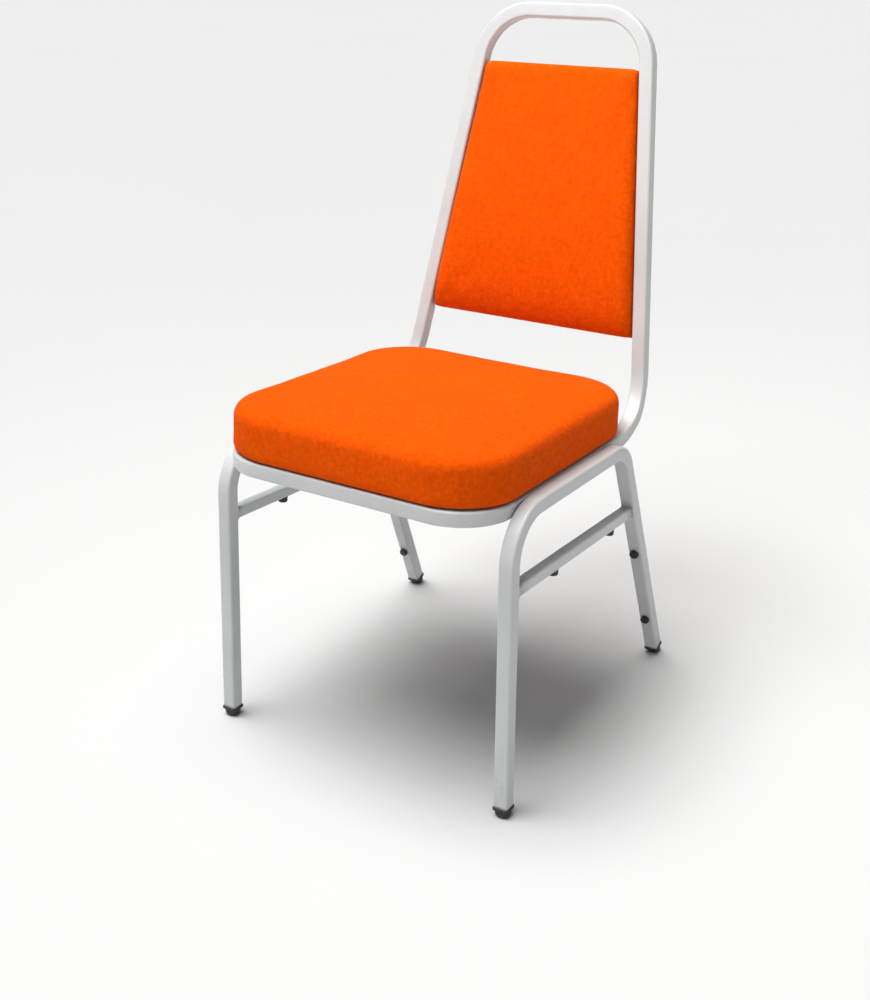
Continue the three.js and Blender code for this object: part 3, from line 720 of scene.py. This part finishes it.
def foot(which, side):
    """Glide: a square collar under the tube end, a round neck and a dome that stands flat on the floor."""
    up = LEGS[which][1]
    collar = on_leg_plane(side, on_leg(which, FOOT_RIM_Z), -atan2(up.x, up.y))
    floor_x = side * (LEG_TOP_X + LEG_SPLAY * (SEAT_TOP_Z - FOOT_MIDDLE_Z))
    dome = Matrix.Translation((floor_x, on_leg(which, FOOT_MIDDLE_Z).x, 0))

    def collar_ring(drop, half, squareness):
        return foot_ring(collar @ raised(-drop * MM), half * MM, squareness)

    def dome_ring(height, radius):
        return foot_ring(dome @ raised(height * MM), radius * MM, 2.0)

    rings = [collar_ring(*row) for row in FOOT_COLLAR]
    neck, shoulder = collar_ring(*FOOT_NECK), dome_ring(*FOOT_SHOULDER)
    rings += [[a.lerp(b, k / 3) for a, b in zip(neck, shoulder)] for k in range(4)]
    return loft(rings + [dome_ring(*row) for row in FOOT_DOME])


def plant(name, part, matrix, node):
    """A black plastic piece, in the place of its CAD node."""
    add(even_normals(mesh_object(name, *part, PLASTIC, matrix)), "black_plastic", node)


STACK_BUTTON = 8 * MM
LEG_BUTTON = 6 * MM

for side, name in SIDES:
    for i, which in enumerate(("front", "rear")):
        plant(f"glide_{which}_{name}", foot(which, side), None, f"foot_{which}_{name}")
        at = on_leg_plane(side, on_stretcher(STRETCHER_BUFFER_Y[i]), -atan(STRETCHER_SLOPE))
        at = at @ raised(-BAR / 2)
        plant(f"stack_button_{which}_{name}", buffer(STACK_BUTTON), at, f"stacking_buffer_{which}_{name}")
    for i, which in enumerate(("upper", "lower")):
        at = on_leg_plane(side, on_leg("rear", LEG_BUFFER_Z[i]), pi / 2 - atan2(REAR_UP.x, REAR_UP.y))
        at = at @ raised(TUBE / 2) @ Matrix.Rotation(pi, 4, "X")
        plant(f"leg_button_{which}_{name}", buffer(LEG_BUTTON), at, f"leg_buffer_{which}_{name}")


# ---- upholstery ----
VOXEL = 4.5 * MM
PRESSURE = 4.0
CLOTH_FRAMES = 20
FOAM_SHRINK = 1.6 * MM
SEAT_ROLL = 15 * MM
SEAT_CROWN = 6.5 * MM


def smooth_step(x):
    x = min(max(x, 0.0), 1.0)
    return x * x * (3 - 2 * x)


def rounded_outline(half_x, low, high, corner, count=160):
    """Evenly spread points round a rounded rectangle."""
    corner = max(corner, 1 * MM)
    arc = pi / 2 * corner
    straight_x, straight_y = 2 * (half_x - corner), high - low - 2 * corner
    total = 2 * (straight_x + straight_y) + 4 * arc

    def walk(x, y, heading, length, turning):
        if not turning:
            return x + length * cos(heading), y + length * sin(heading), heading
        cx, cy = x - corner * sin(heading), y + corner * cos(heading)
        heading += length / corner
        return cx + corner * sin(heading), cy - corner * cos(heading), heading

    points = []
    for k in range(count):
        left = total * k / count
        place = (-half_x + corner, low, 0.0)
        for length, turning in ((straight_x, False), (arc, True), (straight_y, False), (arc, True)) * 2:
            if left <= length:
                break
            left -= length
            place = walk(*place, length, turning)
        x, y, _ = walk(*place, left, turning)
        points.append(Vector((x, y)))
    return points


def seat_levels():
    """Outlines of the seat foam from the underside to the middle of the top, as (inset, height)."""
    base = TUBE / 2 + 0.8 * MM
    top = TUBE / 2 + CUSHION_HEIGHT - SEAT_CROWN - 1.0 * MM
    levels = [(2.0 * MM, base), (0.0, base + 0.8 * MM), (-1.0 * MM, base + 2.6 * MM),
              (-1.0 * MM, base + 6 * MM), (-0.6 * MM, base + 12 * MM), (-0.2 * MM, base + 20 * MM)]
    levels += [(0, base + (top - SEAT_ROLL - base) * k / 6) for k in range(4, 6)]
    for k in range(9):
        angle = pi / 2 * k / 8
        levels.append((SEAT_ROLL * (1 - cos(angle)), top - SEAT_ROLL + SEAT_ROLL * sin(angle)))
    reach = CUSHION_HALF_WIDTH - FOAM_SHRINK - SEAT_ROLL
    for k in range(1, 15):
        levels.append((SEAT_ROLL + reach * k / 15, top + SEAT_CROWN * (1 - (1 - k / 15) ** 2.2)))
    return levels


def seat_foam():
    """The seat cushion before its cover is drawn tight: flat walls, a rolled top edge and a low crown."""
    half = CUSHION_HALF_WIDTH - FOAM_SHRINK
    low, high = CUSHION_FRONT_V + FOAM_SHRINK, CUSHION_REAR_V - FOAM_SHRINK
    rings = []
    for inset, z in seat_levels():
        corner = max(CUSHION_CORNER - FOAM_SHRINK - inset * 0.55, 6 * MM)
        corner = min(corner, half - inset - 0.5 * MM)
        outline = rounded_outline(half - inset, low + inset, high - inset, corner)
        rings.append([Vector((p.x, p.y, z)) for p in outline])
    return loft(rings)


TAPER = (HOOP_HALF_WIDTH - HOOP_TOP_HALF_WIDTH) / HOOP_BACK_LENGTH


def pad_half_width(v, inset=0.0):
    """Half the width between the tubes of the back, less the clearance and the inset."""
    edge = HOOP_HALF_WIDTH - TAPER * v - TUBE / 2 * hypot(1, TAPER)
    return edge - PAD_CLEARANCE - inset


def pad_surface(front, back, inset, columns=64, rows=96):
    """A closed pad over the trapezoid: front and back are heights at (x, v)."""
    low, high = PAD_BOTTOM_V + inset, PAD_TOP_V - inset
    verts, faces = [], []
    for height in (front, back):
        for j in range(rows + 1):
            v = low + (high - low) * j / rows
            half = pad_half_width(v, inset)
            for i in range(columns + 1):
                x = -half + 2 * half * i / columns
                verts.append(Vector((x, v, height(x, v, half, low, high))))
    wide, layer = columns + 1, (columns + 1) * (rows + 1)
    for j in range(rows):
        for i in range(columns):
            a = j * wide + i
            faces.append((a, a + 1, a + 1 + wide, a + wide))
            faces.append((layer + a, layer + a + wide, layer + a + 1 + wide, layer + a + 1))
    rim = list(range(columns)) + [j * wide + columns for j in range(rows)]
    rim += [rows * wide + columns - i for i in range(columns)] + [(rows - j) * wide for j in range(rows)]
    for k, a in enumerate(rim):
        b = rim[(k + 1) % len(rim)]
        faces.append((a, layer + a, layer + b, b))
    return verts, faces


def rolled(distance, radius):
    """Rises from 0 at an edge to 1 at the given distance, as a quarter round."""
    t = 1 - min(max(distance / radius, 0.0), 1.0)
    return sqrt(max(0.0, 1 - t * t))


# The back pad's front: heights above the sheet, and how far from its edges it rolls off.
PAD_TOP_DEPTH = 12.2 * MM
PAD_SWELL = 10.6 * MM
PAD_EDGE_DEPTH = 8.6 * MM
PAD_TUCK = 6 * MM
PAD_TUCK_HEIGHT = 45 * MM
PAD_SIDE_ROLL = 15 * MM
PAD_BOTTOM_ROLL = 66 * MM
PAD_TOP_ROLL = 10 * MM


def back_front(x, v, half, low, high):
    """Front of the back pad: nearly flush at the top, fullest low down, rolled under at the bottom edge."""
    up = (v - low) / (high - low)
    full = PAD_TOP_DEPTH + PAD_SWELL * smooth_step((1 - up) / 0.85)
    edge = PAD_EDGE_DEPTH - PAD_TUCK * smooth_step(1 - (v - low) / PAD_TUCK_HEIGHT)
    sides = rolled(half - abs(x), PAD_SIDE_ROLL)
    lift = sides * rolled(v - low, PAD_BOTTOM_ROLL) * rolled(high - v, PAD_TOP_ROLL)
    return edge + (full - edge) * lift


def flat_face(height):
    return lambda x, v, half, low, high: height


def apply_all(piece):
    """Turns the piece's modifiers into its mesh."""
    graph = bpy.context.evaluated_depsgraph_get()
    made = bpy.data.meshes.new_from_object(piece.evaluated_get(graph), depsgraph=graph)
    piece.modifiers.clear()
    old, piece.data = piece.data, made
    bpy.data.meshes.remove(old)
    made.shade_smooth()


def voxelled(piece):
    remesh = piece.modifiers.new("remesh", "REMESH")
    remesh.mode = "VOXEL"
    remesh.voxel_size = VOXEL
    remesh.use_smooth_shade = True
    apply_all(piece)


def relax(piece, rounds):
    """Evens out the steps that a voxel remesh leaves."""
    soften = piece.modifiers.new("soften", "SMOOTH")
    soften.iterations = rounds
    soften.factor = 0.5
    apply_all(piece)


def draw_tight(piece, held, cap):
    """Inflates the cover as cloth, holding the points for which held(co) is true. The moves are scaled down
    until nine in ten are within the cap, and the rest are cut to it."""
    scene = bpy.context.scene
    mesh = piece.data
    grip = piece.vertex_groups.new(name="held")
    grip.add([v.index for v in mesh.vertices if held(v.co)], 1.0, "REPLACE")
    cloth = piece.modifiers.new("cloth", "CLOTH")
    settings = cloth.settings
    settings.quality = 6
    settings.mass = 0.3
    settings.tension_stiffness = 60
    settings.compression_stiffness = 60
    settings.shear_stiffness = 30
    settings.bending_stiffness = 5
    settings.use_pressure = True
    settings.uniform_pressure_force = PRESSURE
    settings.effector_weights.gravity = 0
    settings.vertex_group_mass = "held"
    cloth.collision_settings.use_collision = False
    cloth.collision_settings.use_self_collision = False
    cloth.point_cache.frame_start = 1
    cloth.point_cache.frame_end = CLOTH_FRAMES
    start = np.array([v.co for v in mesh.vertices])
    for step in range(1, CLOTH_FRAMES + 1):
        scene.frame_set(step)
    graph = bpy.context.evaluated_depsgraph_get()
    drawn = piece.evaluated_get(graph).data
    finish = np.array([v.co for v in drawn.vertices])
    piece.modifiers.clear()
    scene.frame_set(1)
    move = finish - start
    length = np.linalg.norm(move, axis=1)
    move *= min(1.0, cap / np.percentile(length, 90))
    length = np.linalg.norm(move, axis=1)
    share = np.minimum(1.0, cap / np.maximum(length, 1e-9))
    mesh.vertices.foreach_set("co", (start + move * share[:, None]).ravel())
    mesh.update()


def subdivided(piece):
    finer = piece.modifiers.new("finer", "SUBSURF")
    finer.levels = finer.render_levels = 1
    apply_all(piece)


def cut_out(piece, part):
    """Takes a closed (verts, faces) away from the piece."""
    tool = mesh_object("cutter", *part, CLOTH)
    carve = piece.modifiers.new("carve", "BOOLEAN")
    carve.operation = "DIFFERENCE"
    carve.solver = "MANIFOLD"
    carve.object = tool
    apply_all(piece)
    bpy.data.objects.remove(tool)


def prism(outline, z0, z1):
    """A straight block on an outline."""
    return loft([[Vector((p[0], p[1], z)) for p in outline] for z in (z0, z1)])


WALL_START = 12 * MM


def lay_cloth(piece, core, top):
    """Gives each point the place it had on the flat cloth: beyond the core it runs out and down the wall."""
    mesh = piece.data
    layer = mesh.uv_layers.new(name="cloth_lie")
    co = np.array([v.co for v in mesh.vertices])
    low_x, high_x, low_y, high_y = core(co)
    inner = np.stack([np.clip(co[:, 0], low_x, high_x), np.clip(co[:, 1], low_y, high_y)], axis=1)
    away = co[:, :2] - inner
    distance = np.linalg.norm(away, axis=1)
    heading = away / np.maximum(distance, 1e-6)[:, None]
    drop = np.abs(top - co[:, 2]) * np.clip(distance / WALL_START, 0, 1)
    lie = inner + heading * (distance + drop)[:, None]
    index = np.zeros(len(mesh.loops), int)
    mesh.loops.foreach_get("vertex_index", index)
    layer.data.foreach_set("uv", lie[index].ravel())


def padded_piece(name, part, held, cap, pocket, core, top, matrix, node):
    """A cushion: its foam shape drawn tight as cloth, with the pocket cut out for the board behind it."""
    piece = mesh_object(name, *part, CLOTH)
    voxelled(piece)
    relax(piece, 6)
    draw_tight(piece, held, cap)
    relax(piece, 2)
    subdivided(piece)
    for tool in pocket:
        cut_out(piece, tool)
    lay_cloth(piece, core, top)
    piece.data.transform(matrix)
    piece.data.materials.clear()
    piece.data.materials.append(CLOTH)
    add(piece, "seat_fabric", node)


def seat_core(co):
    """The rectangle that the seat's cloth lies flat over: low and high X, low and high Y."""
    reach = CUSHION_HALF_WIDTH - CUSHION_CORNER
    return -reach, reach, CUSHION_FRONT_V + CUSHION_CORNER, CUSHION_REAR_V - CUSHION_CORNER


CORE_SIDE = 32 * MM
CORE_END = 30 * MM


def pad_core(co):
    """The same for the back pad, narrower towards its top."""
    half = HOOP_HALF_WIDTH - TAPER * co[:, 1] - TUBE / 2 - CORE_SIDE
    return -half, half, PAD_BOTTOM_V + CORE_END, PAD_TOP_V - CORE_END


BOARD_PLAY = 0.5 * MM
BOARD_ROOM = 1.8 * MM
SEAT_HELD = TUBE / 2 + 5 * MM
SEAT_DRAW = 1.6 * MM

board_cut = rounded_outline(
    CUSHION_HALF_WIDTH - BOARD_INSET + BOARD_PLAY, CUSHION_FRONT_V + BOARD_INSET - BOARD_PLAY,
    CUSHION_REAR_V - BOARD_INSET + BOARD_PLAY, CUSHION_CORNER - BOARD_INSET)
seat_pocket = [prism(board_cut, 0, BOARD_TOP + BOARD_ROOM)]
padded_piece(
    "seat_upholstery", seat_foam(), lambda co: co.z < SEAT_HELD, SEAT_DRAW,
    seat_pocket, seat_core, TUBE / 2 + CUSHION_HEIGHT, SEAT, "seat_cushion")


def trapezoid(inset, corner):
    """Outline of the pad, drawn in by inset, with rounded corners."""
    low, high = PAD_BOTTOM_V + inset, PAD_TOP_V - inset
    corners = [(0, low), (pad_half_width(low, inset), low), (pad_half_width(high, inset), high),
               (-pad_half_width(high, inset), high), (-pad_half_width(low, inset), low), (0, low)]
    return [point for point, *_ in fillet_path(corners, [corner] * 4)[:-1]]


TAB_NOTCH_V = (150 * MM, 400 * MM)
TAB_NOTCH_HALF = 11.5 * MM
TAB_NOTCH_REACH = (24 * MM, -6 * MM)  # in from the pad's edge, and out past it
POCKET_START = PAD_BACK - 2 * MM
POCKET_TOP = 8.7 * MM
POCKET_INSET = 5.6 * MM
POCKET_CORNER = 5.4 * MM
PAD_HELD = 2 * MM
PAD_DRAW = 2.2 * MM


def tab_notch(side, v):
    """Room for a fixing tab in the rear of the pad."""
    inner, outer = (side * (pad_half_width(v) - reach) for reach in TAB_NOTCH_REACH)
    low, high = v - TAB_NOTCH_HALF, v + TAB_NOTCH_HALF
    return prism([(inner, low), (outer, low), (outer, high), (inner, high)], POCKET_START, -GAP)


pad_pocket = [prism(trapezoid(POCKET_INSET, POCKET_CORNER), POCKET_START, POCKET_TOP)]
pad_pocket += [tab_notch(side, v) for side, _ in SIDES for v in TAB_NOTCH_V]
padded_piece(
    "back_upholstery", pad_surface(back_front, flat_face(PAD_BACK), GAP), lambda co: co.z < PAD_HELD,
    PAD_DRAW, pad_pocket, pad_core, PAD_FRONT, BACK, "back_cushion")


PANEL_FRONT = -7.0 * MM
PANEL_EDGE = -9.0 * MM
PANEL_SWELL = 3.4 * MM
PANEL_ROLL = 7 * MM
PANEL_INSET = 1.2 * MM
PANEL_TOP = -12 * MM


def panel_rear(x, v, half, low, high):
    """Thin wadding over the rear panel, rolled off at its edges."""
    sides = rolled(half - abs(x), PANEL_ROLL)
    lift = sides * rolled(v - low, PANEL_ROLL) * rolled(high - v, PANEL_ROLL)
    return PANEL_EDGE - PANEL_SWELL * lift


panel_part = pad_surface(flat_face(PANEL_FRONT), panel_rear, PANEL_INSET, columns=90, rows=130)
panel = mesh_object("rear_upholstery", *panel_part, CLOTH)
lay_cloth(panel, pad_core, PANEL_TOP)
panel.data.transform(BACK)
add(panel, "seat_fabric", "back_rear_panel")


# ---- dust cover under the seat ----
COVER_INSET = BOARD_INSET + 2 * MM
COVER_Z = TUBE / 2 + GAP
COVER_THICKNESS = 0.8 * MM
COVER_STEP = 9 * MM
SCREW_HOLE = 4 * MM
OUTLINE_STEPS = 200


def circle(x, y, radius, steps=16):
    return [Vector((x + radius * cos(a), y + radius * sin(a))) for a in angles(steps)]


def cover_grid(half, low, high, corner, holes):
    """Inner points of the cloth, a step apart, clear of its edge and of the holes."""
    points = []
    y = low + COVER_STEP
    while y < high - COVER_STEP / 2:
        x = -half + COVER_STEP
        while x < half - COVER_STEP / 2:
            dx = max(0.0, abs(x) - (half - corner))
            dy = max(0.0, low + corner - y, y - (high - corner))
            inside = hypot(dx, dy) < corner - COVER_STEP / 2
            if inside and all(hypot(x - a, y - b) > 2 * SCREW_HOLE for a, b in holes):
                points.append(Vector((x, y)))
            x += COVER_STEP
        y += COVER_STEP
    return points


def cover_cloth():
    """A thin flat cloth with a hole at each screw: points, faces, size before fixing, and outline."""
    half = CUSHION_HALF_WIDTH - COVER_INSET
    low, high = CUSHION_FRONT_V + COVER_INSET, CUSHION_REAR_V - COVER_INSET
    corner = CUSHION_CORNER - COVER_INSET
    outline = rounded_outline(half, low, high, corner, OUTLINE_STEPS)
    screw_x = RAIL_INSIDE_X - LUG_SCREW_INSET
    holes = [(side * screw_x, v) for side, _ in SIDES for v in SEAT_LUG_V]
    points, edges = [], []
    for loop in [outline] + [circle(x, y, SCREW_HOLE) for x, y in holes]:
        start, count = len(points), len(loop)
        points += loop
        edges += [(start + k, start + (k + 1) % count) for k in range(count)]
    points += cover_grid(half, low, high, corner, holes)
    flat, _, triangles, *_ = delaunay_2d_cdt(points, edges, [], 1, 1e-7)
    keep = []
    for face in triangles:
        middle = sum((flat[i] for i in face), Vector((0, 0))) / len(face)
        if all(hypot(middle.x - a, middle.y - b) > SCREW_HOLE - 0.1 * MM for a, b in holes):
            keep.append(tuple(face))
    return [(p.x, p.y, 0) for p in flat], keep, (2 * half, high - low), outline


verts, faces, size, outline = cover_cloth()
cover = mesh_object("underseat_cloth", verts, faces, FELT, SEAT @ raised(COVER_Z))
thick = cover.modifiers.new("thickness", "SOLIDIFY")
thick.thickness = COVER_THICKNESS
thick.offset = 0.0
add(cover, "dust_cloth", "seat_dust_cover")

STAPLES = 13
STAPLE_PITCH = 23 * MM
STAPLE_INSET = 7 * MM
STAPLE_SIDES = 8


def cover_staples():
    """The row of staples that shows along the rear edge of the cloth, none of them quite straight."""
    wire, half, leg = 0.45 * MM, 5 * MM, 0.9 * MM
    row_v = CUSHION_REAR_V - COVER_INSET - STAPLE_INSET
    parts = []
    for i in range(STAPLES):
        x, v = (i - STAPLES // 2) * STAPLE_PITCH, row_v + 1.2 * MM * sin(i * 2.7)
        turn = Matrix.Rotation(0.16 * sin(i * 1.9), 2)
        path = [(-half, leg), (-half + 0.3 * MM, 0.2 * MM), (-half + 1.1 * MM, 0),
                (0, 0), (half - 1.1 * MM, 0), (half - 0.3 * MM, 0.2 * MM), (half, leg)]
        rings = []
        for k, (along, rise) in enumerate(path):
            slope = 0.0 if 0 < k < len(path) - 1 else copysign(1.1, along)
            z = COVER_Z - COVER_THICKNESS / 2 - wire + rise
            ring = []
            for angle in angles(STAPLE_SIDES):
                up, side = wire * cos(angle), wire * sin(angle)
                flat = turn @ Vector((along - up * sin(slope), side))
                ring.append(Vector((x + flat.x, v + flat.y, z + up * cos(slope))))
            rings.append(ring)
        parts.append(loft(rings))
    return joined(parts)


add(mesh_object("cover_staples", *cover_staples(), ZINC, SEAT), "zinc_steel")


# ---- light and floor ----
def soft_sun(name, towards, strength, spread):
    """A wide soft light from the direction towards, even over the whole floor."""
    lamp = bpy.data.lights.new(name, "SUN")
    lamp.energy = strength
    lamp.angle = radians(spread)
    made = bpy.data.objects.new(name, lamp)
    made.rotation_euler = Vector(towards).to_track_quat("Z", "Y").to_euler()
    bpy.context.collection.objects.link(made)


def aim(name, lamp, at, target):
    """Places a lamp, turned towards the target and unseen by the camera."""
    made = bpy.data.objects.new(name, lamp)
    made.location = at
    made.rotation_euler = (Vector(target) - Vector(at)).to_track_quat("-Z", "Y").to_euler()
    made.visible_camera = False
    bpy.context.collection.objects.link(made)


def soft_lamp(name, at, target, size, power):
    lamp = bpy.data.lights.new(name, "AREA")
    lamp.shape = "DISK"
    lamp.size = size
    lamp.energy = power
    aim(name, lamp, at, target)


def soft_spot(name, at, target, size, cone, power):
    lamp = bpy.data.lights.new(name, "SPOT")
    lamp.shadow_soft_size = size
    lamp.spot_size = radians(cone)
    lamp.spot_blend = 1.0
    lamp.energy = power
    aim(name, lamp, at, target)


soft_sun("overhead", towards=(-0.24, -0.20, 1.0), strength=3.75, spread=42)
soft_lamp("over_seat", at=(-0.05, -0.14, 1.55), target=(0, 0.05, 0.6), size=0.7, power=5.5)
soft_spot("on_back", at=(-0.20, -0.75, 1.85), target=(0.0, 0.25, 0.76), size=0.25, cone=44, power=20)


HORIZON_STRENGTH = 0.84
OVERHEAD_STRENGTH = 0.30
FADE_HEIGHT = 0.30


def studio_air():
    """A pale backdrop: as bright as the floor at the horizon, softer overhead."""
    world = bpy.data.worlds.new("studio")
    world.use_nodes = True
    nodes, links = world.node_tree.nodes, world.node_tree.links
    where = nodes.new("ShaderNodeTexCoord")
    parts = nodes.new("ShaderNodeSeparateXYZ")
    fade = nodes.new("ShaderNodeMapRange")
    fade.interpolation_type = "SMOOTHSTEP"
    fade.inputs["From Min"].default_value = 0.0
    fade.inputs["From Max"].default_value = FADE_HEIGHT
    fade.inputs["To Min"].default_value = HORIZON_STRENGTH
    fade.inputs["To Max"].default_value = OVERHEAD_STRENGTH
    links.new(where.outputs["Generated"], parts.inputs[0])
    links.new(parts.outputs["Z"], fade.inputs["Value"])
    links.new(fade.outputs["Result"], nodes["Background"].inputs["Strength"])
    nodes["Background"].inputs["Color"].default_value = rgba(1.0, 1.0, 1.0)
    bpy.context.scene.world = world


studio_air()
bpy.context.scene.view_settings.view_transform = "Standard"

FAR = 40
floor_corners = [(-FAR, -FAR, 0), (FAR, -FAR, 0), (FAR, FAR, 0), (-FAR, FAR, 0)]
ground = mesh_object("floor", floor_corners, [(0, 1, 2, 3)], studio_floor())
